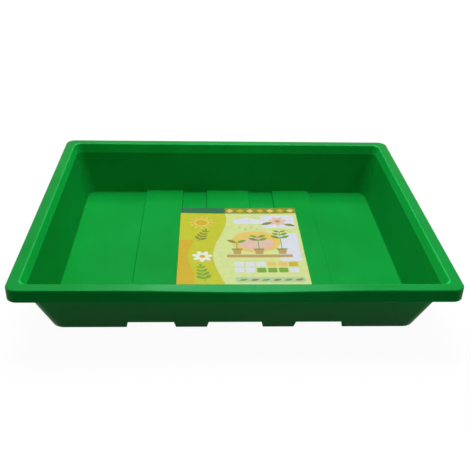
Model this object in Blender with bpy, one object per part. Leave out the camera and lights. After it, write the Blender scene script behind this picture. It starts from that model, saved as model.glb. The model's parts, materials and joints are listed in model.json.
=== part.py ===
"""Seed tray: a thin-walled plastic moulding with a turned-down rim, and the printed card that lies in it.

Metres, Z up. X runs along the tray, the front is at -Y, and the foot rim stands on Z = 0 about the Z axis.
"""

import math

import bmesh
import bpy

# Overall size, over the rim
LENGTH = 0.350
WIDTH = 0.290
HEIGHT = 0.056
WALL = 0.0015

# Rim: a flat flange with a skirt on its outer edge and a steep lip on its inner edge
RIM_WIDTH = 0.0110
RIM_CORNER_RADIUS = 0.009
RIM_EDGE_RADIUS = 0.0012
SKIRT_DEPTH = 0.0108
LIP_DEPTH = 0.0095
LIP_SLOPE = math.radians(6)
LIP_EDGE_RADIUS = 0.0020
LIP_CORNER_RADIUS = 0.0070

# Basin: plain walls that lean out, the long ones further, and that run on below the floor as the foot rim
SIDE_DRAFT = math.radians(16.3)
FRONT_DRAFT = math.radians(21.8)
BASE_CORNER_RADIUS = 0.0100
FOOT_EDGE_RADIUS = 0.0004

# Floor, and the three bands raised out of it from front to back, over channels that notch the foot rim
FLOOR_HEIGHT = 0.0063
BAND_HEIGHT = 0.0084
COVE_RADIUS = 0.0018
BAND_EDGE_RADIUS = 0.0006
CHANNEL_DRAFT = math.radians(12)
CENTRE_CHANNEL_WIDTH = 0.0460
SIDE_CHANNEL_WIDTH = 0.0402
SIDE_CHANNEL_OFFSET = 0.0687

# Printed card, lying across the raised bands, a little to the right of the middle
CARD_WIDTH = 0.119
CARD_DEPTH = 0.145
CARD_THICKNESS = 0.0005
CARD_CORNER_RADIUS = 0.0015
CARD_OFFSET_X = 0.0097
CARD_OFFSET_Y = 0.0023
REST_GAP = 0.0003

# Where the lip ends and the wall begins, as height and as inset from the rim's edge
LIP_FOOT_HEIGHT = HEIGHT - LIP_DEPTH
LIP_FOOT_INSET = RIM_WIDTH + LIP_DEPTH * math.tan(LIP_SLOPE)

# Fineness of the curved stretches, and how far cutters run past what they cut
CORNER_STEPS = 8
EDGE_STEPS = 3
SHARP_ANGLE = math.radians(30)
CUTTER_MARGIN = 0.010

PLASTIC_COLOUR = (0.010, 0.330, 0.055, 1.0)
PLASTIC_ROUGHNESS = 0.42
CARD_COLOUR = (0.80, 0.76, 0.36, 1.0)
CARD_ROUGHNESS = 0.55


def clear_scene():
    for old in list(bpy.data.objects):
        bpy.data.objects.remove(old, do_unlink=True)


def new_collection(name):
    collection = bpy.data.collections.new(name)
    bpy.context.scene.collection.children.link(collection)
    return collection


def new_material(name, colour, roughness):
    material = bpy.data.materials.new(name)
    material.use_nodes = True
    shader = material.node_tree.nodes["Principled BSDF"]
    shader.inputs["Base Color"].default_value = colour
    shader.inputs["Roughness"].default_value = roughness
    shader.inputs["Metallic"].default_value = 0.0
    return material


def rounded_rectangle(length, width, radius):
    """Points anticlockwise, with as many on every outline, so that two outlines always pair up."""
    points = []
    for corner, (side_x, side_y) in enumerate(((1, 1), (-1, 1), (-1, -1), (1, -1))):
        centre_x = side_x * (length / 2 - radius)
        centre_y = side_y * (width / 2 - radius)
        for step in range(CORNER_STEPS + 1):
            angle = math.pi / 2 * (corner + step / CORNER_STEPS)
            points.append((centre_x + radius * math.cos(angle), centre_y + radius * math.sin(angle)))
    return points


def arc(centre, radius, start, end):
    """Points (inset, z) on an arc, from one angle to another."""
    points = []
    for step in range(EDGE_STEPS + 1):
        angle = start + (end - start) * step / EDGE_STEPS
        points.append((centre[0] + radius * math.cos(angle), centre[1] + radius * math.sin(angle)))
    return points


def even(points, outer_radius):
    """Outlines at the same inset all round, with corners that share one centre."""
    return [(inset, inset, height, outer_radius - inset) for inset, height in points]


def loft(name, rings, collection):
    """A solid through rounded rectangles, each given as side inset, front inset, height and corner radius."""
    shape = bmesh.new()
    loops = []
    for side, front, height, radius in rings:
        outline = rounded_rectangle(LENGTH - 2 * side, WIDTH - 2 * front, radius)
        loops.append([shape.verts.new((x, y, height)) for x, y in outline])
    count = len(loops[0])
    for lower, upper in zip(loops, loops[1:]):
        for i in range(count):
            j = (i + 1) % count
            shape.faces.new((lower[i], lower[j], upper[j], upper[i]))
    shape.faces.new(reversed(loops[0]))
    shape.faces.new(loops[-1])
    bmesh.ops.recalc_face_normals(shape, faces=shape.faces)
    mesh = bpy.data.meshes.new(name)
    shape.to_mesh(mesh)
    shape.free()
    solid = bpy.data.objects.new(name, mesh)
    collection.objects.link(solid)
    return solid


def as_cutter(solid):
    solid.hide_render = True
    solid.display_type = "WIRE"
    return solid


def boolean(solid, cutter, operation):
    modifier = solid.modifiers.new(cutter.name, "BOOLEAN")
    modifier.object = cutter
    modifier.operation = operation
    modifier.solver = "EXACT"


def apply_modifiers(solid):
    evaluated = solid.evaluated_get(bpy.context.evaluated_depsgraph_get())
    mesh = bpy.data.meshes.new_from_object(evaluated)
    solid.modifiers.clear()
    solid.data = mesh


def wall_inset(height, draft):
    """Inset of the inner face of a wall at a height, on the straight slope below the lip."""
    return LIP_FOOT_INSET + (LIP_FOOT_HEIGHT - height) * math.tan(draft)


def corner_radius(height):
    """Radius of the basin's inner corners, which open evenly from the lip's foot down to the base."""
    share = 1 - height / LIP_FOOT_HEIGHT
    return LIP_CORNER_RADIUS + share * (BASE_CORNER_RADIUS - LIP_CORNER_RADIUS)


def basin_outline(height, thickness):
    """Outline of the walls at a height: their inner face, moved out by a thickness."""
    side = wall_inset(height, SIDE_DRAFT) - thickness / math.cos(SIDE_DRAFT)
    front = wall_inset(height, FRONT_DRAFT) - thickness / math.cos(FRONT_DRAFT)
    return side, front, height, corner_radius(height) + thickness


def cove_step(height, draft):
    """How far the cove between wall and floor stands in from the wall's straight face at a height."""
    centre = wall_inset(FLOOR_HEIGHT, draft) + COVE_RADIUS * (1 - math.sin(draft)) / math.cos(draft)
    drop = COVE_RADIUS - (height - FLOOR_HEIGHT)
    if drop <= COVE_RADIUS * math.sin(draft):
        return 0.0
    return centre - math.sqrt(COVE_RADIUS**2 - drop**2) - wall_inset(height, draft)


def cove_outlines():
    """Inner outlines from the floor up to where the cove has run out into the walls."""
    outlines = []
    for step in range(EDGE_STEPS + 1):
        turn = (math.pi / 2 - SIDE_DRAFT) * step / EDGE_STEPS
        height = FLOOR_HEIGHT + COVE_RADIUS * (1 - math.cos(turn))
        side, front, _, radius = basin_outline(height, 0.0)
        side_step = cove_step(height, SIDE_DRAFT)
        outlines.append((side + side_step, front + cove_step(height, FRONT_DRAFT), height, radius - side_step))
    return outlines


def lip_edge(radius):
    """Arc from the lip up to the level of a face of the flange, for the top or for the underside."""
    tangent = LIP_EDGE_RADIUS * math.tan((math.pi / 2 - LIP_SLOPE) / 2)
    centre = (RIM_WIDTH - tangent, HEIGHT - LIP_EDGE_RADIUS)
    return arc(centre, radius, LIP_SLOPE, math.pi / 2)


def channel_block(name, thickness, collection):
    """The three under-floor channels as one cutter, grown by a wall's thickness for the cavity side."""
    shape = bmesh.new()
    channels = [
        (0.0, CENTRE_CHANNEL_WIDTH),
        (-SIDE_CHANNEL_OFFSET, SIDE_CHANNEL_WIDTH),
        (SIDE_CHANNEL_OFFSET, SIDE_CHANNEL_WIDTH),
    ]
    top = BAND_HEIGHT - WALL + thickness
    bottom = -CUTTER_MARGIN
    grow = thickness / math.cos(CHANNEL_DRAFT)
    for middle, width in channels:
        box = bmesh.ops.create_cube(shape, size=1.0)
        for vert in box["verts"]:
            height = top if vert.co.z > 0 else bottom
            half = width / 2 + grow - height * math.tan(CHANNEL_DRAFT)
            vert.co.x = middle + math.copysign(half, vert.co.x)
            vert.co.y = math.copysign(WIDTH / 2 + CUTTER_MARGIN, vert.co.y)
            vert.co.z = height
    mesh = bpy.data.meshes.new(name)
    shape.to_mesh(mesh)
    shape.free()
    block = bpy.data.objects.new(name, mesh)
    collection.objects.link(block)
    return as_cutter(block)


def round_edges(solid, radius, limit):
    """Round every sharp edge below a height: those of the base, and those that the channels leave."""
    shape = bmesh.new()
    shape.from_mesh(solid.data)
    sharp = [
        edge
        for edge in shape.edges
        if max(vert.co.z for vert in edge.verts) < limit and edge.calc_face_angle() > SHARP_ANGLE
    ]
    bmesh.ops.bevel(
        shape,
        geom=sharp,
        offset=radius * math.tan((math.pi / 2 - CHANNEL_DRAFT) / 2),
        offset_type="OFFSET",
        segments=EDGE_STEPS,
        profile=0.5,
        affect="EDGES",
        clamp_overlap=False,
    )
    shape.to_mesh(solid.data)
    shape.free()


def basin_outside(parts, cutters):
    """Outside of the basin as a solid, from the foot rim up into the flange, hollowed under the floor."""
    lip_offset = WALL / math.cos(LIP_SLOPE)
    lip_radius = LIP_CORNER_RADIUS + WALL
    edge = lip_edge(LIP_EDGE_RADIUS - WALL)
    rings = [basin_outline(0.0, WALL)]
    rings.append((LIP_FOOT_INSET - lip_offset, LIP_FOOT_INSET - lip_offset, LIP_FOOT_HEIGHT, lip_radius))
    rings += [(inset, inset, height, lip_radius) for inset, height in edge]
    rings.append((edge[-1][0], edge[-1][0], HEIGHT - WALL / 2, lip_radius))
    outside = loft("tray", rings, parts)
    under_floor = [basin_outline(height, 0.0) for height in (-CUTTER_MARGIN, FLOOR_HEIGHT - WALL)]
    boolean(outside, as_cutter(loft("under_floor", under_floor, cutters)), "DIFFERENCE")
    boolean(outside, channel_block("channels_outside", 0.0, cutters), "DIFFERENCE")
    apply_modifiers(outside)
    round_edges(outside, FOOT_EDGE_RADIUS, BAND_HEIGHT)
    return outside


def basin_cavity(cutters):
    """Inside of the basin, opened past the flange, with the raised bands left standing in it."""
    edge = lip_edge(LIP_EDGE_RADIUS)
    rings = cove_outlines()
    rings.append((LIP_FOOT_INSET, LIP_FOOT_INSET, LIP_FOOT_HEIGHT, LIP_CORNER_RADIUS))
    rings += [(inset, inset, height, LIP_CORNER_RADIUS) for inset, height in edge]
    rings.append((edge[-1][0], edge[-1][0], HEIGHT + CUTTER_MARGIN, LIP_CORNER_RADIUS))
    cavity = as_cutter(loft("cavity", rings, cutters))
    boolean(cavity, channel_block("channels_inside", WALL, cutters), "DIFFERENCE")
    apply_modifiers(cavity)
    round_edges(cavity, BAND_EDGE_RADIUS, BAND_HEIGHT + WALL)
    return cavity


def rim_plate(cutters):
    """Flange and skirt as a shallow lid, which the cavity then opens."""
    profile = [(WALL, HEIGHT - WALL), (WALL, HEIGHT - SKIRT_DEPTH), (0.0, HEIGHT - SKIRT_DEPTH)]
    profile += arc((RIM_EDGE_RADIUS, HEIGHT - RIM_EDGE_RADIUS), RIM_EDGE_RADIUS, math.pi, math.pi / 2)
    return as_cutter(loft("rim_plate", even(profile, RIM_CORNER_RADIUS), cutters))


def make_tray(parts, cutters):
    tray = basin_outside(parts, cutters)
    boolean(tray, rim_plate(cutters), "UNION")
    boolean(tray, basin_cavity(cutters), "DIFFERENCE")
    apply_modifiers(tray)
    tray.data.materials.clear()
    tray.data.materials.append(new_material("green_plastic", PLASTIC_COLOUR, PLASTIC_ROUGHNESS))
    tray.data.shade_smooth()
    tray.data.set_sharp_from_angle(angle=SHARP_ANGLE)
    return tray


def make_card(parts):
    """The card: a flat rounded outline, as thick as stiff card, lying on the raised bands."""
    outline = rounded_rectangle(CARD_WIDTH, CARD_DEPTH, CARD_CORNER_RADIUS)
    shape = bmesh.new()
    face = shape.faces.new([shape.verts.new((x, y, 0.0)) for x, y in outline])
    raised = bmesh.ops.extrude_face_region(shape, geom=[face])
    for item in raised["geom"]:
        if isinstance(item, bmesh.types.BMVert):
            item.co.z = CARD_THICKNESS
    bmesh.ops.recalc_face_normals(shape, faces=shape.faces)
    mesh = bpy.data.meshes.new("label_card")
    shape.to_mesh(mesh)
    shape.free()
    card = bpy.data.objects.new("label_card", mesh)
    card.location = (CARD_OFFSET_X, CARD_OFFSET_Y, BAND_HEIGHT + REST_GAP)
    card.data.materials.append(new_material("printed_card", CARD_COLOUR, CARD_ROUGHNESS))
    parts.objects.link(card)
    return card


def main():
    clear_scene()
    parts = new_collection("seed_tray")
    cutters = new_collection("cutters")
    make_tray(parts, cutters)
    make_card(parts)


main()
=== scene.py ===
"""Looks of the seed tray: a finer shell, the printed card that lies in it, materials, light and camera.

Metres, in the frame of the CAD model, and millimetres for the card's print. The camera's place was fitted
to the photograph's outlines.
"""

import json
import math

import bmesh
import bpy
from mathutils import Matrix, Vector, geometry

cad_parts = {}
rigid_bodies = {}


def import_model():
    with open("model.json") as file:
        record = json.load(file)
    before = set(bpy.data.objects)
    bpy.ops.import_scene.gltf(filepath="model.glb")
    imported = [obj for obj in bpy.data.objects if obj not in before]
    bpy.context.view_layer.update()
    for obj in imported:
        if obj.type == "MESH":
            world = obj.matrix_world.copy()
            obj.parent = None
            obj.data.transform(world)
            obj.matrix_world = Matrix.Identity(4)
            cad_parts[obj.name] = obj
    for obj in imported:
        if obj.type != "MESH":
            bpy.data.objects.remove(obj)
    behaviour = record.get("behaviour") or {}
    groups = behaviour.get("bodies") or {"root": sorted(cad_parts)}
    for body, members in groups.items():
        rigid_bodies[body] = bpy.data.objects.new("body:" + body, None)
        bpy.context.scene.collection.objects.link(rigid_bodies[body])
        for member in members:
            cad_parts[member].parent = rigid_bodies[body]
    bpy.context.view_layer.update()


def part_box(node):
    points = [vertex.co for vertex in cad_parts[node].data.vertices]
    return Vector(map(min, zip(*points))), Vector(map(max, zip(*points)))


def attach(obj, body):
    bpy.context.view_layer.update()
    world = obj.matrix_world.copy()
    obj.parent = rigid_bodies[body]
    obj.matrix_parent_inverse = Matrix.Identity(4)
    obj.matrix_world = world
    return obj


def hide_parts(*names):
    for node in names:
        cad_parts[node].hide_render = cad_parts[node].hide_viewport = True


for old in list(bpy.data.objects):
    bpy.data.objects.remove(old, do_unlink=True)
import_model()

# Tray over all, from the frame and rounded to a micrometre
TRAY_LOW, TRAY_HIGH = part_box("tray")
LENGTH, WIDTH, HEIGHT = (round(size, 6) for size in TRAY_HIGH - TRAY_LOW)

# Rim, as in the CAD source, but with a lip that leans more and has a smaller edge radius
WALL = 0.0015
RIM_WIDTH = 0.0110
RIM_CORNER_RADIUS = 0.009
RIM_EDGE_RADIUS = 0.0012
SKIRT_DEPTH = 0.0108
SKIRT_EDGE_RADIUS = 0.0004
LIP_DEPTH = 0.0095
LIP_SLOPE = math.radians(14)
LIP_EDGE_RADIUS = 0.0016
LIP_CORNER_RADIUS = 0.0070
LIP_FOOT_HEIGHT = HEIGHT - LIP_DEPTH
LIP_FOOT_INSET = 0.0120
LIP_TOP_INSET = LIP_FOOT_INSET - LIP_DEPTH * math.tan(LIP_SLOPE)

# Basin, as in the CAD source
SIDE_DRAFT = math.radians(16.3)
FRONT_DRAFT = math.radians(21.8)
BASE_CORNER_RADIUS = 0.0100
FOOT_EDGE_RADIUS = 0.0004
FLOOR_HEIGHT = 0.0063
BAND_HEIGHT = 0.0084
COVE_RADIUS = 0.0018
BAND_EDGE_RADIUS = 0.0006
CHANNEL_DRAFT = math.radians(12)
CENTRE_CHANNEL_WIDTH = 0.0460
SIDE_CHANNEL_WIDTH = 0.0402
SIDE_CHANNEL_OFFSET = 0.0687

# Mark of the mould's gate: the radius of each step, and its height from the underside of the bands
GATE_PROFILE = (
    (0.0042, 0.0002),
    (0.0040, -0.00035),
    (0.0010, -0.00040),
    (0.0008, -0.0010),
    (0.0003, -0.0011),
)
GATE_SIDES = 32

# Droop of the front flange: how far, where along the tray, and over what width of the flange it sets in
FRONT_DROOP = 0.0020
DROOP_MIDDLE = 0.008
DROOP_HALF_LENGTH = 0.100
DROOP_ONSET = 0.004

# Fineness of the curved stretches and of the skin, and how far cutters run past what they cut
CORNER_STEPS = 18
EDGE_STEPS = 6
ROUNDING_STEPS = 3
SHARP_ANGLE = math.radians(30)
SLICE = 0.0125
MERGE_DISTANCE = 1e-6
CUTTER_MARGIN = 0.010
NORMAL_WEIGHT = 80

# Slots of the shell, and what tells a face of the lip or flange: how far in it lies, how much it faces up
GRAINED_SLOT, LIP_SLOT, FLANGE_SLOT = range(3)
LIP_SLOT_INSET = LIP_TOP_INSET - 0.0006
FLANGE_SLOT_RISE = 0.1

# Plastic: two tones of each green, the paler pair being painted light that brightens the lip's inner side,
# and each finish as refractive index, specular level and roughness
GREEN = ((0.0030, 0.290, 0.032, 1.0), (0.0045, 0.345, 0.046, 1.0))
LIP_PAINTED_LIGHT_GREEN = ((0.0085, 0.560, 0.080, 1.0), (0.0115, 0.645, 0.100, 1.0))
GLOSS_TINT = (0.0, 1.0, 0.45, 1.0)
GRAINED_FINISH = (1.12, 0.6, 0.40)
SMOOTH_FINISH = (1.35, 0.4, 0.34)
RUBBED_SWING = 0.06
GRAIN_DEPTH = 0.000015
WAVE_DEPTH = 0.0006

# Card: its box from the frame, its curl with the shares of its parts, and the cells that its mesh bends by
CARD_LOW, CARD_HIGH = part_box("label_card")
CARD_CURL = 0.0012
CURL_ALONG_X = 0.55
CURL_ALONG_Y = 0.25
CURL_OF_CORNER = 0.45
DIAGONAL = 0.7
CARD_CELL = 6.0
MILLIMETRES = 1000

# Print, in millimetres and screen colours from 0 to 255
CARD_CORNER_RADIUS = 1.5
HEADER_DEPTH = 12.0
HEADER_SPLIT = -14.0
SHELF_TOP = -20.0
INKS = {
    "paper": (226, 230, 214),
    "cream": (208, 219, 142),
    "yellow": (192, 194, 12),
    "mustard": (206, 172, 4),
    "peach": (226, 194, 96),
    "tan": (186, 154, 88),
    "olive": (130, 138, 34),
    "leaf": (112, 164, 38),
    "teal": (16, 106, 62),
    "mist": (216, 218, 228),
    "sage": (176, 200, 160),
    "rose": (222, 186, 166),
}
BOARD_COLOUR = (196, 192, 178)
INK_ROUGHNESS = 0.42
BOARD_ROUGHNESS = 0.75
INK_SPECULAR = 0.20
FIBRE_DEPTH = 0.00001

# Studio: the floor, the sky's brightness by height, the light of the dome and the lamps
WHITE = (1.0, 1.0, 1.0, 1.0)
FLOOR_HALF = 6.0
FLOOR_BOUNCE = (0.30, 0.30, 0.30, 1.0)
FLOOR_LIT = (0.06, 0.06, 0.06, 1.0)
FLOOR_GLOW = 0.955
SKY_LOW = 0.05
SKY_HIGH = 0.40
SKY_TOP = 0.10
DOME = 0.045
LAMPS = {
    "behind": ((0.0, 1.15, 1.25), (0.5, 0.25), 6.2),
    "above": ((0.0, 0.9, 2.4), (1.8, 1.2), 55.0),
    "front": ((0.0, -0.8, 1.1), (1.2, 0.5), 1.2),
    "right": ((1.3, 0.3, 1.2), (0.7, 0.7), 2.1),
}
LAMP_TARGET = (0.0, 0.0, 0.0)

# Camera: lens and square sensor in millimetres, angles in radians
CAMERA_LENS = 54.28
CAMERA_SENSOR = 36.0
CAMERA_NEAR = 0.02
CAMERA_FAR = 50.0
CAMERA_PITCH = math.radians(30.11)
CAMERA_YAW = math.radians(2.82)
CAMERA_ROLL = math.radians(1.54)
CAMERA_PLACE = (-0.02501, -0.58347, 0.35906)


def join_to_scene(name, shape):
    """Turn a bmesh into an object of the scene."""
    mesh = bpy.data.meshes.new(name)
    shape.to_mesh(mesh)
    shape.free()
    solid = bpy.data.objects.new(name, mesh)
    bpy.context.scene.collection.objects.link(solid)
    return solid


def polar(x, y, distance, angle):
    """The point at a distance and angle from another."""
    return x + distance * math.cos(angle), y + distance * math.sin(angle)


def turned(x, y, along, across, angle):
    """The point reached from another by going along a direction and then to its left."""
    return (
        x + along * math.cos(angle) - across * math.sin(angle),
        y + along * math.sin(angle) + across * math.cos(angle),
    )


def arc(centre, radius, start, end):
    """Points (inset, z) on an arc, from one angle to another."""
    angles = [start + (end - start) * step / EDGE_STEPS for step in range(EDGE_STEPS + 1)]
    return [polar(*centre, radius, angle) for angle in angles]


def rounded_rectangle(length, width, radius, steps, x=0.0, y=0.0):
    """Outline of a rectangle with rounded corners, about a middle."""
    points = []
    for corner, (side_x, side_y) in enumerate(((1, 1), (-1, 1), (-1, -1), (1, -1))):
        centre_x = x + side_x * (length / 2 - radius)
        centre_y = y + side_y * (width / 2 - radius)
        for step in range(steps + 1):
            points.append(polar(centre_x, centre_y, radius, math.pi / 2 * (corner + step / steps)))
    return points


def skin(name, outlines):
    """A closed solid through outlines of as many points each, from first to last."""
    shape = bmesh.new()
    loops = [[shape.verts.new(point) for point in outline] for outline in outlines]
    count = len(loops[0])
    for lower, upper in zip(loops, loops[1:]):
        for i in range(count):
            j = (i + 1) % count
            shape.faces.new((lower[i], lower[j], upper[j], upper[i]))
    shape.faces.new(reversed(loops[0]))
    shape.faces.new(loops[-1])
    bmesh.ops.recalc_face_normals(shape, faces=shape.faces)
    return join_to_scene(name, shape)


def loft(name, rings):
    """A solid through rounded rectangles, given as side inset, front inset, height and corner radius."""
    outlines = []
    for side, front, height, radius in rings:
        outline = rounded_rectangle(LENGTH - 2 * side, WIDTH - 2 * front, radius, CORNER_STEPS)
        outlines.append([(x, y, height) for x, y in outline])
    return skin(name, outlines)


def boolean(solid, cutter, operation):
    """Cut or join with another solid, which is used up."""
    modifier = solid.modifiers.new(cutter.name, "BOOLEAN")
    modifier.object = cutter
    modifier.operation = operation
    modifier.solver = "EXACT"
    evaluated = solid.evaluated_get(bpy.context.evaluated_depsgraph_get())
    mesh = bpy.data.meshes.new_from_object(evaluated)
    solid.modifiers.clear()
    solid.data = mesh
    bpy.data.objects.remove(cutter, do_unlink=True)


def wall_inset(height, draft):
    """How far a wall's inner face stands in from the rim's outer edge at a height."""
    return LIP_FOOT_INSET + (LIP_FOOT_HEIGHT - height) * math.tan(draft)


def corner_radius(height):
    """Radius of the corners between the walls' inner faces at a height."""
    share = 1 - height / LIP_FOOT_HEIGHT
    return LIP_CORNER_RADIUS + share * (BASE_CORNER_RADIUS - LIP_CORNER_RADIUS)


def basin_outline(height, thickness):
    """Outline of the walls at a height: their inner face, moved out by a thickness."""
    side = wall_inset(height, SIDE_DRAFT) - thickness / math.cos(SIDE_DRAFT)
    front = wall_inset(height, FRONT_DRAFT) - thickness / math.cos(FRONT_DRAFT)
    return side, front, height, corner_radius(height) + thickness


def cove_step(height, draft):
    """How far the cove between wall and floor stands in from the wall's straight face at a height."""
    centre = wall_inset(FLOOR_HEIGHT, draft) + COVE_RADIUS * (1 - math.sin(draft)) / math.cos(draft)
    drop = COVE_RADIUS - (height - FLOOR_HEIGHT)
    if drop <= COVE_RADIUS * math.sin(draft):
        return 0.0
    return centre - math.sqrt(COVE_RADIUS**2 - drop**2) - wall_inset(height, draft)


def cove_outlines():
    """Inner outlines from the floor up to where the cove has run out into the walls."""
    outlines = []
    for step in range(EDGE_STEPS + 1):
        turn = (math.pi / 2 - SIDE_DRAFT) * step / EDGE_STEPS
        height = FLOOR_HEIGHT + COVE_RADIUS * (1 - math.cos(turn))
        side, front, _, radius = basin_outline(height, 0.0)
        side_step = cove_step(height, SIDE_DRAFT)
        front_step = cove_step(height, FRONT_DRAFT)
        outlines.append((side + side_step, front + front_step, height, radius - side_step))
    return outlines


def lip_edge(radius):
    """Arc from the lip up to the level of a face of the flange, for the top or for the underside."""
    tangent = LIP_EDGE_RADIUS * math.tan((math.pi / 2 - LIP_SLOPE) / 2)
    centre = (LIP_TOP_INSET - tangent, HEIGHT - LIP_EDGE_RADIUS)
    return arc(centre, radius, LIP_SLOPE, math.pi / 2)


def channel_block(name, thickness):
    """The three channels under the bands as solids, grown by a thickness and run out past front and back."""
    channels = (
        (0.0, CENTRE_CHANNEL_WIDTH),
        (-SIDE_CHANNEL_OFFSET, SIDE_CHANNEL_WIDTH),
        (SIDE_CHANNEL_OFFSET, SIDE_CHANNEL_WIDTH),
    )
    top = BAND_HEIGHT - WALL + thickness
    grow = thickness / math.cos(CHANNEL_DRAFT)
    shape = bmesh.new()
    for middle, width in channels:
        box = bmesh.ops.create_cube(shape, size=1.0)
        for vert in box["verts"]:
            height = top if vert.co.z > 0 else -CUTTER_MARGIN
            half = width / 2 + grow - height * math.tan(CHANNEL_DRAFT)
            vert.co.x = middle + math.copysign(half, vert.co.x)
            vert.co.y = math.copysign(WIDTH / 2 + CUTTER_MARGIN, vert.co.y)
            vert.co.z = height
    return join_to_scene(name, shape)


def round_edges(solid, radius, limit):
    """Round every sharp edge below a height, by a radius that is met along the channels."""
    shape = bmesh.new()
    shape.from_mesh(solid.data)
    sharp = [
        edge
        for edge in shape.edges
        if max(vert.co.z for vert in edge.verts) < limit and edge.calc_face_angle() > SHARP_ANGLE
    ]
    bmesh.ops.bevel(
        shape,
        geom=sharp,
        offset=radius * math.tan((math.pi / 2 - CHANNEL_DRAFT) / 2),
        offset_type="OFFSET",
        segments=ROUNDING_STEPS,
        profile=0.5,
        affect="EDGES",
        clamp_overlap=False,
    )
    shape.to_mesh(solid.data)
    shape.free()


def basin_outside():
    """The basin and lip from outside, hollowed under the floor and along the channels."""
    lip_inset = LIP_FOOT_INSET - WALL / math.cos(LIP_SLOPE)
    lip_radius = LIP_CORNER_RADIUS + WALL
    edge = lip_edge(LIP_EDGE_RADIUS - WALL)
    edge_inset = edge[-1][0]
    rings = [
        basin_outline(0.0, WALL),
        (lip_inset, lip_inset, LIP_FOOT_HEIGHT, lip_radius),
        *((inset, inset, height, lip_radius) for inset, height in edge),
        (edge_inset, edge_inset, HEIGHT - WALL / 2, lip_radius),
    ]
    outside = loft("tray_shell", rings)
    under_floor = [basin_outline(height, 0.0) for height in (-CUTTER_MARGIN, FLOOR_HEIGHT - WALL)]
    boolean(outside, loft("under_floor", under_floor), "DIFFERENCE")
    boolean(outside, channel_block("channels_outside", 0.0), "DIFFERENCE")
    round_edges(outside, FOOT_EDGE_RADIUS, BAND_HEIGHT)
    return outside


def basin_cavity():
    """What is cut out of the tray from above: the basin down to the floor, less the raised bands."""
    edge = lip_edge(LIP_EDGE_RADIUS)
    edge_inset = edge[-1][0]
    rings = [
        *cove_outlines(),
        (LIP_FOOT_INSET, LIP_FOOT_INSET, LIP_FOOT_HEIGHT, LIP_CORNER_RADIUS),
        *((inset, inset, height, LIP_CORNER_RADIUS) for inset, height in edge),
        (edge_inset, edge_inset, HEIGHT + CUTTER_MARGIN, LIP_CORNER_RADIUS),
    ]
    cavity = loft("cavity", rings)
    boolean(cavity, channel_block("channels_inside", WALL), "DIFFERENCE")
    round_edges(cavity, BAND_EDGE_RADIUS, BAND_HEIGHT + WALL)
    return cavity


def rim_plate():
    """Flange and skirt as a shallow lid, with the skirt's lower edges rounded."""
    bottom = HEIGHT - SKIRT_DEPTH
    small = SKIRT_EDGE_RADIUS
    profile = [
        (WALL, HEIGHT - WALL),
        *arc((WALL - small, bottom + small), small, 0.0, -math.pi / 2),
        *arc((small, bottom + small), small, -math.pi / 2, -math.pi),
        *arc((RIM_EDGE_RADIUS, HEIGHT - RIM_EDGE_RADIUS), RIM_EDGE_RADIUS, math.pi, math.pi / 2),
    ]
    rings = [(inset, inset, height, RIM_CORNER_RADIUS - inset) for inset, height in profile]
    return loft("rim_plate", rings)


def gate_mark():
    """The spot where the mould was filled: a shallow boss with a broken-off nib, under the base's middle."""
    angles = [math.tau * step / GATE_SIDES for step in range(GATE_SIDES)]
    outlines = []
    for radius, step in GATE_PROFILE:
        height = BAND_HEIGHT - WALL + step
        outlines.append([(*polar(0.0, 0.0, radius, angle), height) for angle in angles])
    return skin("gate_mark", outlines)


def droop(point):
    """Turn the middle of the front side's flange and skirt down about the lip."""
    out = RIM_WIDTH - (WIDTH / 2 + point.y)
    place = abs(point.x - DROOP_MIDDLE) / DROOP_HALF_LENGTH
    if out <= 0 or place >= 1:
        return point
    along = math.cos(math.pi / 2 * place) ** 2
    across = min(1.0, out / DROOP_ONSET)
    angle = math.asin(FRONT_DROOP / RIM_WIDTH) * along * across * across * (3 - 2 * across)
    down = point.z - HEIGHT
    turned_out = out * math.cos(angle) + down * math.sin(angle)
    turned_down = down * math.cos(angle) - out * math.sin(angle)
    return Vector((point.x, RIM_WIDTH - WIDTH / 2 - turned_out, HEIGHT + turned_down))


def slot_of(face):
    """Slot of a face of the shell: the lip's inner side, the flange's top or the rest."""
    middle = face.calc_center_median()
    inset = min(LENGTH / 2 - abs(middle.x), WIDTH / 2 - abs(middle.y))
    outward = middle.x * face.normal.x / LENGTH + middle.y * face.normal.y / WIDTH
    # Faces of the lip take the paler green: painted light that makes the lip's band bright
    if middle.z > LIP_FOOT_HEIGHT and inset > LIP_SLOT_INSET and outward < 0:
        return LIP_SLOT
    if middle.z > HEIGHT - RIM_EDGE_RADIUS and face.normal.z > FLANGE_SLOT_RISE:
        return FLANGE_SLOT
    return GRAINED_SLOT


def slice_up(shape):
    """Cut the skin into short pieces both ways, so that it can droop and shade evenly."""
    for axis, extent in ((Vector((1, 0, 0)), LENGTH), (Vector((0, 1, 0)), WIDTH)):
        count = int(extent / SLICE)
        for i in range(1, count):
            bmesh.ops.bisect_plane(
                shape,
                geom=list(shape.verts) + list(shape.edges) + list(shape.faces),
                plane_co=axis * (extent * (i / count - 0.5)),
                plane_no=axis,
                dist=MERGE_DISTANCE,
            )
    bmesh.ops.dissolve_degenerate(shape, dist=MERGE_DISTANCE, edges=shape.edges)


def make_shell(materials):
    """The tray's whole moulding, with its materials in the order of the slots."""
    shell = basin_outside()
    boolean(shell, rim_plate(), "UNION")
    boolean(shell, basin_cavity(), "DIFFERENCE")
    boolean(shell, gate_mark(), "UNION")
    shell.data.materials.clear()
    for material in materials:
        shell.data.materials.append(material)
    shape = bmesh.new()
    shape.from_mesh(shell.data)
    slice_up(shape)
    for face in shape.faces:
        face.material_index = slot_of(face)
    for vert in shape.verts:
        vert.co = droop(vert.co)
    shape.to_mesh(shell.data)
    shape.free()
    shell.data.shade_smooth()
    weighted = shell.modifiers.new("weighted", "WEIGHTED_NORMAL")
    weighted.weight = NORMAL_WEIGHT
    return shell


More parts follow.
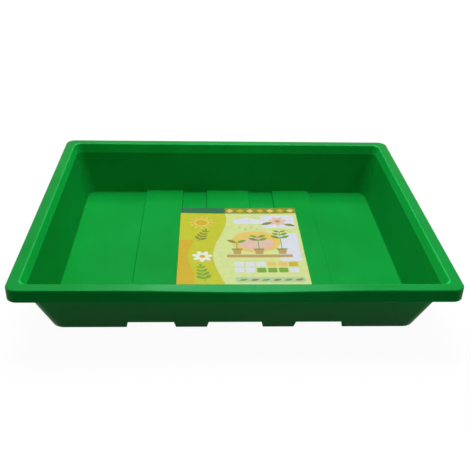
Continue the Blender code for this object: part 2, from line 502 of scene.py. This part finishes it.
class Tree:
    """Short calls for building the nodes of a material or of the world."""

    def __init__(self, owner):
        owner.use_nodes = True
        self.nodes = owner.node_tree.nodes
        self.links = owner.node_tree.links

    def fill(self, node, inputs):
        """Set or link a node's inputs, given by name or number, and return its outputs."""
        for key, value in inputs.items():
            if isinstance(value, bpy.types.NodeSocket):
                self.links.new(value, node.inputs[key])
            else:
                node.inputs[key].default_value = value
        return node.outputs

    def add(self, kind, inputs, **settings):
        """Outputs of a new node with these inputs and settings."""
        node = self.nodes.new(kind)
        for setting, value in settings.items():
            setattr(node, setting, value)
        return self.fill(node, inputs)

    def noise(self, scale, detail, roughness=0.5, stretch=(1, 1, 1)):
        place = self.add("ShaderNodeTexCoord", {})["Object"]
        mapped = self.add("ShaderNodeMapping", {"Vector": place, "Scale": stretch})["Vector"]
        inputs = {"Vector": mapped, "Scale": scale, "Detail": detail, "Roughness": roughness}
        return self.add("ShaderNodeTexNoise", inputs)["Fac"]

    def spread(self, value, low, high, to_low, to_high, interpolation="LINEAR"):
        """Carry a value over from one range to another."""
        inputs = {"Value": value, "From Min": low, "From Max": high, "To Min": to_low, "To Max": to_high}
        return self.add("ShaderNodeMapRange", inputs, interpolation_type=interpolation)["Result"]

    def combine(self, operation, first, second):
        return self.add("ShaderNodeMath", {0: first, 1: second}, operation=operation)["Value"]

    def mix(self, share, first, second):
        """A colour between two colours."""
        inputs = {"Factor": share, "A": first, "B": second}
        outputs = self.add("ShaderNodeMix", inputs, data_type="RGBA")
        return next(socket for socket in outputs if socket.type == "RGBA")

    def bump(self, height, depth, **normal):
        return self.add("ShaderNodeBump", {"Height": height, "Distance": depth, **normal})["Normal"]


def plastic(name, tones, finish):
    """Satin polypropylene: even colour, a fine moulded grain, faint flow marks and rubbed patches."""
    index, level, roughness = finish
    material = bpy.data.materials.new(name)
    tree = Tree(material)
    drift = tree.noise(scale=9.0, detail=2.0)
    flow = tree.noise(scale=26.0, detail=3.0, stretch=(1.0, 0.35, 1.0))
    tone = tree.spread(tree.combine("ADD", drift, flow), 0.7, 1.3, 0.0, 1.0)
    rub = tree.noise(scale=60.0, detail=4.0, roughness=0.65, stretch=(0.4, 1.0, 1.0))
    grain = tree.noise(scale=2600.0, detail=1.0)
    waves = tree.bump(tree.noise(scale=16.0, detail=1.0), WAVE_DEPTH)
    shader_inputs = {
        "Base Color": tree.mix(tone, *tones),
        "Roughness": tree.spread(rub, 0.3, 0.7, roughness - RUBBED_SWING, roughness + RUBBED_SWING),
        "IOR": index,
        "Specular IOR Level": level,
        "Specular Tint": GLOSS_TINT,
        "Normal": tree.bump(grain, GRAIN_DEPTH, Normal=waves),
    }
    tree.fill(tree.nodes["Principled BSDF"], shader_inputs)
    return material


def ink(name, colour, roughness):
    """Printed card: flat ink with the card's slight mottle, under a thin varnish."""
    material = bpy.data.materials.new(name)
    tree = Tree(material)
    mottle = tree.noise(scale=180.0, detail=4.0, roughness=0.6)
    fibres = tree.noise(scale=2200.0, detail=1.0)
    flecks = tree.combine("ADD", mottle, tree.combine("MULTIPLY", fibres, 0.5))
    darker = (*(0.93 * part for part in colour), 1.0)
    lighter = (*(min(1.0, 1.04 * part) for part in colour), 1.0)
    shader_inputs = {
        "Base Color": tree.mix(tree.spread(flecks, 0.5, 1.0, 0.0, 1.0), darker, lighter),
        "Roughness": tree.spread(mottle, 0.3, 0.7, roughness - 0.05, roughness + 0.06),
        "Specular IOR Level": INK_SPECULAR,
        "Normal": tree.bump(fibres, FIBRE_DEPTH),
    }
    tree.fill(tree.nodes["Principled BSDF"], shader_inputs)
    return material


def linear(colour):
    """Linear colour of a screen colour from 0 to 255."""
    shares = [value / 255 for value in colour]
    return [share / 12.92 if share <= 0.04045 else ((share + 0.055) / 1.055) ** 2.4 for share in shares]


def rectangle(left, right, low, high):
    return [(left, low), (right, low), (right, high), (left, high)]


def panel(x, y, across, along, radius):
    """A rectangle with rounded corners, by its middle and its full sizes."""
    return rounded_rectangle(across, along, radius, 4, x, y)


def ellipse(x, y, across, along, turn=0.0, steps=28):
    angles = [math.tau * step / steps for step in range(steps)]
    return [turned(x, y, across * math.cos(angle), along * math.sin(angle), turn) for angle in angles]


def leaf(x, y, length, width, turn):
    """A pointed leaf that starts at a point and runs along a direction."""
    steps = 10
    fullness = 0.8
    points = []
    for side in (1, -1):
        for step in range(steps):
            share = step / steps if side > 0 else 1 - step / steps
            half = side * width / 2 * math.sin(math.pi * share) ** fullness
            points.append(turned(x, y, length * share, half, turn))
    return points


def sun(x, y, radius):
    """A disc with a lighter ring and twelve pointed rays."""
    rays = 12
    foot = radius * 1.18
    tip = radius * 1.75
    spread = math.radians(8)
    shapes = []
    for ray in range(rays):
        angle = math.tau * ray / rays
        left = polar(x, y, foot, angle - spread)
        right = polar(x, y, foot, angle + spread)
        shapes.append(("peach", [left, polar(x, y, tip, angle), right]))
    shapes.append(("peach", ellipse(x, y, radius, radius)))
    shapes.append(("mustard", ellipse(x, y, radius * 0.72, radius * 0.72)))
    return shapes


def sprout(x, tall, pairs):
    """A seedling in a small pot on the shelf, with a stem and pairs of leaves."""
    pot = 9.0
    foot = 0.36 * pot
    brim = 0.5 * pot
    y = SHELF_TOP + pot + 1.0
    shapes = [
        ("leaf", [(x - 0.45, y), (x + 0.45, y), (x + 0.35, y + tall), (x - 0.35, y + tall)]),
        ("tan", [(x - foot, y - pot), (x + foot, y - pot), (x + brim, y), (x - brim, y)]),
        ("olive", panel(x, y, 1.16 * pot, 2.0, 0.7)),
    ]
    for pair in range(pairs):
        height = y + tall * (0.45 + 0.55 * (pair + 1) / pairs)
        size = 10.5 - 1.6 * pair
        for side, turn in enumerate((math.radians(28), math.radians(152))):
            colour = "olive" if (pair + side) % 2 else "leaf"
            shapes.append((colour, leaf(x, height, size, size * 0.42, turn)))
    return shapes


def drop(x, y, size):
    """A rain drop with its tip up."""
    steps = 14
    angles = [math.radians(25 - 230 * step / steps) for step in range(steps + 1)]
    return [(x, y + size * 1.5), *(polar(x, y, size * 0.62, angle) for angle in angles)]


def cloud(x, y, size):
    return [
        ("mist", ellipse(x, y, size, size * 0.72)),
        ("mist", ellipse(x - size * 0.95, y - size * 0.22, size * 0.66, size * 0.5)),
        ("mist", ellipse(x + size * 0.98, y - size * 0.2, size * 0.72, size * 0.52)),
    ]


def spray(x, y, tall, turn, colour):
    """A straight stalk with leaves to both sides and one at the tip."""
    pairs = 4
    half = 0.4
    shapes = []
    for pair in range(pairs):
        share = (pair + 0.6) / pairs
        foot = polar(x, y, tall * share, turn)
        size = tall * (0.42 - 0.20 * share)
        for side in (-1, 1):
            shapes.append((colour, leaf(*foot, size, size * 0.45, turn + side * math.radians(48))))
    tip = polar(x, y, tall, turn)
    shapes.append((colour, leaf(*tip, tall * 0.24, tall * 0.11, turn)))
    corners = ((x, y, -half), (*tip, -half / 2), (*tip, half / 2), (x, y, half))
    shapes.append((colour, [turned(*point, 0.0, across, turn) for *point, across in corners]))
    return shapes


def flower(x, y, size, petals, heart):
    """Seven petals, given by their colour, about a heart."""
    count = 7
    shapes = []
    for petal in range(count):
        turn = math.tau * petal / count + 0.2
        place = polar(x, y, size * 0.55, turn)
        shapes.append((petals, ellipse(*place, size * 0.45, size * 0.24, turn, 16)))
    return shapes + [(heart, ellipse(x, y, size * 0.28, size * 0.28))]


def wave(left, right, top, bottom, swing, phase):
    """A field between two edges, of which the first one waves from top to bottom."""
    steps = 24
    edge = []
    for step in range(steps + 1):
        share = step / steps
        x = left + swing * math.sin(math.tau * share + phase)
        edge.append((x, top + (bottom - top) * share))
    return edge + [(right, bottom), (right, top)]


def header(left, right, low, high):
    """A band with a row of diamonds."""
    count = 7
    step = (right - left) / count
    across = step * 0.38
    along = (high - low) * 0.34
    y = (low + high) / 2
    shapes = [("olive", rectangle(left, right, low, high))]
    for i in range(count):
        x = left + step * (i + 0.5)
        diamond = [(x - across, y), (x, y - along), (x + across, y), (x, y + along)]
        shapes.append(("mustard" if i % 2 else "peach", diamond))
    return shapes


def calendar(left, low, cell):
    """Two rows of plain square cells, as for the months of a year, with some of them filled in."""
    fills = (
        ("mist", "mist", "leaf", "leaf", "leaf", "mist"),
        ("mist", "mist", "mist", "peach", "peach", "mustard"),
    )
    shapes = []
    for row, colours in enumerate(fills):
        for column, colour in enumerate(colours):
            x = left + cell * (column + 0.5)
            y = low + cell * (row + 0.5)
            shapes.append((colour, panel(x, y, cell * 0.84, cell * 0.78, 0.9)))
    return shapes


def card_shapes(half_x, half_y):
    """The print, bottom layer first, about the card's middle."""
    header_low = half_y - HEADER_DEPTH
    rain = [("sage", drop(0.5 + 5.5 * i, 31.0 - 3.0 * (i % 2), 2.2)) for i in range(4)]
    strip_leaves = []
    for i in range(6):
        outline = leaf(-4.0 + 10.0 * i, -64.0, 8.0, 3.4, math.radians(14))
        strip_leaves.append(("olive" if i % 2 else "leaf", outline))
    return [
        ("cream", rectangle(-half_x, half_x, -half_y, half_y)),
        ("yellow", wave(-20.0, -half_x, half_y, -half_y, 7.0, 0.6)),
        ("mustard", wave(-47.0, -half_x, 6.0, -half_y, 3.5, 2.4)),
        *sun(-38.0, 41.0, 8.0),
        *spray(-41.0, 4.0, 21.0, math.radians(72), "olive"),
        *spray(-34.0, -66.0, 24.0, math.radians(100), "leaf"),
        *flower(-37.0, -24.0, 10.0, "paper", "mustard"),
        ("mist", panel(39.0, 43.5, 34.0, 26.0, 3.0)),
        ("mist", panel(46.0, -6.0, 20.0, 52.0, 3.0)),
        ("peach", ellipse(15.0, 4.0, 24.0, 20.0)),
        ("rose", ellipse(15.0, 0.0, 17.0, 12.0)),
        *cloud(8.0, 45.0, 9.0),
        *rain,
        ("tan", panel(17.0, SHELF_TOP - 2.5, 62.0, 5.0, 1.5)),
        *sprout(-4.0, 12.0, 1),
        *sprout(17.0, 22.0, 2),
        *sprout(39.0, 32.0, 3),
        *flower(39.0, 44.0, 9.5, "rose", "tan"),
        ("olive", leaf(22.0, 37.0, 13.0, 5.0, math.radians(24))),
        ("olive", leaf(45.0, 38.0, 12.0, 5.0, math.radians(-18))),
        *calendar(-8.0, -52.0, 10.0),
        ("sage", panel(24.0, -63.0, 62.0, 8.0, 2.0)),
        *strip_leaves,
        ("teal", rectangle(-half_x, HEADER_SPLIT, header_low, half_y)),
        *header(HEADER_SPLIT, half_x, header_low, half_y),
    ]


def anticlockwise(points):
    area = sum(a[0] * b[1] - b[0] * a[1] for a, b in zip(points, points[1:] + points[:1]))
    return points if area > 0 else points[::-1]


def cell_lines(half_x, half_y):
    """Ends of the lines across the card, both ways, along which its mesh can bend."""
    lines = []
    for across, along, along_x in ((half_x, half_y, False), (half_y, half_x, True)):
        count = round(2 * across / CARD_CELL)
        for i in range(1, count):
            place = across * (2 * i / count - 1)
            lines.append([(end, place) if along_x else (place, end) for end in (-along, along)])
    return lines


def flat_print(half_x, half_y):
    """The card's flat points, and its triangles with the ink of the uppermost shape on each."""
    card = ("paper", panel(0.0, 0.0, 2 * half_x, 2 * half_y, CARD_CORNER_RADIUS))
    shapes = [card, *card_shapes(half_x, half_y)]
    points = []
    faces = []
    for _, outline in shapes:
        faces.append(list(range(len(points), len(points) + len(outline))))
        points += anticlockwise(outline)
    edges = []
    for line in cell_lines(half_x, half_y):
        edges.append((len(points), len(points) + 1))
        points += line
    tolerance = 1e-4
    spots = [Vector(point) for point in points]
    flat, _, triangles, _, _, sources = geometry.delaunay_2d_cdt(spots, edges, faces, 0, tolerance)
    inked = [(corners, shapes[max(source)][0]) for corners, source in zip(triangles, sources) if 0 in source]
    return flat, inked


def curl(x, y):
    """How far the card curls up off the bands, with x and y from -1 to 1 across it."""
    to_corner = max(0.0, -x * DIAGONAL - y * DIAGONAL)
    return CARD_CURL * (CURL_ALONG_X * x * x + CURL_ALONG_Y * y * y + CURL_OF_CORNER * to_corner**2)


def make_card():
    """The card with its print on top, plain board below and at its edges, and a slight curl."""
    middle = (CARD_LOW + CARD_HIGH) / 2
    half_x = (CARD_HIGH.x - CARD_LOW.x) / 2 * MILLIMETRES
    half_y = (CARD_HIGH.y - CARD_LOW.y) / 2 * MILLIMETRES
    flat, inked = flat_print(half_x, half_y)
    shape = bmesh.new()
    layers = []
    for level in (CARD_HIGH.z, CARD_LOW.z):
        layer = []
        for point in flat:
            x = middle.x + point.x / MILLIMETRES
            y = middle.y + point.y / MILLIMETRES
            layer.append(shape.verts.new((x, y, level + curl(point.x / half_x, point.y / half_y))))
        layers.append(layer)
    upper, lower = layers
    order = list(INKS)
    board_slot = len(order)
    for corners, colour in inked:
        top = shape.faces.new([upper[i] for i in corners])
        top.material_index = order.index(colour)
        bottom = shape.faces.new([lower[i] for i in reversed(corners)])
        bottom.material_index = board_slot
    below = dict(zip(upper, lower))
    for a, b in [edge.verts for edge in shape.edges if edge.is_boundary and edge.verts[0] in below]:
        side = shape.faces.new((a, b, below[b], below[a]))
        side.material_index = board_slot
    for vert in [vert for vert in shape.verts if not vert.link_faces]:
        shape.verts.remove(vert)
    bmesh.ops.recalc_face_normals(shape, faces=shape.faces)
    for face in shape.faces:
        face.smooth = len(face.verts) == 3
    card = join_to_scene("garden_card", shape)
    card.data.set_sharp_from_angle(angle=SHARP_ANGLE)
    for name, colour in INKS.items():
        card.data.materials.append(ink("ink_" + name, linear(colour), INK_ROUGHNESS))
    card.data.materials.append(ink("card_board", linear(BOARD_COLOUR), BOARD_ROUGHNESS))
    return card


def pale_rays(tree):
    """One for rays that show the background: from the camera, or by way of gloss or glass."""
    path = tree.nodes.new("ShaderNodeLightPath").outputs
    seen = tree.combine("ADD", path["Is Camera Ray"], path["Is Glossy Ray"])
    return tree.combine("MINIMUM", tree.combine("ADD", seen, path["Is Transmission Ray"]), 1.0)


def make_floor():
    """Plain pale floor: nearly white where it is seen, with the tray's shadow, and dull as a reflector."""
    shape = bmesh.new()
    bmesh.ops.create_grid(shape, x_segments=1, y_segments=1, size=FLOOR_HALF)
    floor = join_to_scene("studio_floor", shape)
    material = bpy.data.materials.new("studio_floor")
    tree = Tree(material)
    tree.nodes.remove(tree.nodes["Principled BSDF"])
    dull = tree.add("ShaderNodeBsdfDiffuse", {"Color": FLOOR_BOUNCE})[0]
    lit = tree.add("ShaderNodeBsdfDiffuse", {"Color": FLOOR_LIT})[0]
    glow = tree.add("ShaderNodeEmission", {"Strength": FLOOR_GLOW})[0]
    seen = tree.add("ShaderNodeAddShader", {0: lit, 1: glow})[0]
    either = tree.add("ShaderNodeMixShader", {"Fac": pale_rays(tree), 1: dull, 2: seen})[0]
    tree.fill(tree.nodes["Material Output"], {"Surface": either})
    floor.data.materials.append(material)


def make_world():
    """White near the horizon where it is seen, dimmer higher up, and a weak dome of light for the rest."""
    world = bpy.data.worlds.new("studio")
    bpy.context.scene.world = world
    tree = Tree(world)
    direction = tree.add("ShaderNodeTexCoord", {})["Generated"]
    height = tree.add("ShaderNodeSeparateXYZ", {"Vector": direction})["Z"]
    sky = tree.spread(height, SKY_LOW, SKY_HIGH, 1.0, SKY_TOP, "SMOOTHSTEP")
    strength = tree.spread(pale_rays(tree), 0.0, 1.0, DOME, sky)
    tree.fill(tree.nodes["Background"], {"Color": WHITE, "Strength": strength})


def make_lamp(name, place, size, power):
    data = bpy.data.lights.new(name, "AREA")
    data.shape = "RECTANGLE"
    data.size, data.size_y = size
    data.energy = power
    lamp = bpy.data.objects.new(name, data)
    lamp.location = place
    lamp.rotation_euler = (Vector(LAMP_TARGET) - Vector(place)).to_track_quat("-Z", "Y").to_euler()
    bpy.context.scene.collection.objects.link(lamp)


def make_camera():
    """The photograph's viewing angle, as fitted to its outlines."""
    data = bpy.data.cameras.new("camera")
    data.sensor_fit = "HORIZONTAL"
    data.sensor_width = CAMERA_SENSOR
    data.lens = CAMERA_LENS
    data.clip_start = CAMERA_NEAR
    data.clip_end = CAMERA_FAR
    camera = bpy.data.objects.new("camera", data)
    level = math.cos(CAMERA_PITCH)
    look = Vector((math.sin(CAMERA_YAW) * level, math.cos(CAMERA_YAW) * level, -math.sin(CAMERA_PITCH)))
    right = look.cross(Vector((0, 0, 1))).normalized()
    up = right.cross(look)
    turned_right = right * math.cos(CAMERA_ROLL) + up * math.sin(CAMERA_ROLL)
    turned_up = up * math.cos(CAMERA_ROLL) - right * math.sin(CAMERA_ROLL)
    place = Matrix((turned_right, turned_up, -look)).transposed().to_4x4()
    place.translation = CAMERA_PLACE
    camera.matrix_world = place
    bpy.context.scene.collection.objects.link(camera)
    bpy.context.scene.camera = camera


shell = make_shell(
    [
        plastic("green_plastic", GREEN, GRAINED_FINISH),
        # Paler green on the lip: painted light, not the plastic's own colour
        plastic("green_plastic_lip_painted_light", LIP_PAINTED_LIGHT_GREEN, GRAINED_FINISH),
        plastic("green_plastic_flange", GREEN, SMOOTH_FINISH),
    ]
)
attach(shell, "tray")
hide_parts("tray")

card = make_card()
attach(card, "label_card")
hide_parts("label_card")

make_floor()
make_world()
for lamp_name, (place, size, power) in LAMPS.items():
    make_lamp(lamp_name, place, size, power)
make_camera()
bpy.context.scene.view_settings.view_transform = "Standard"
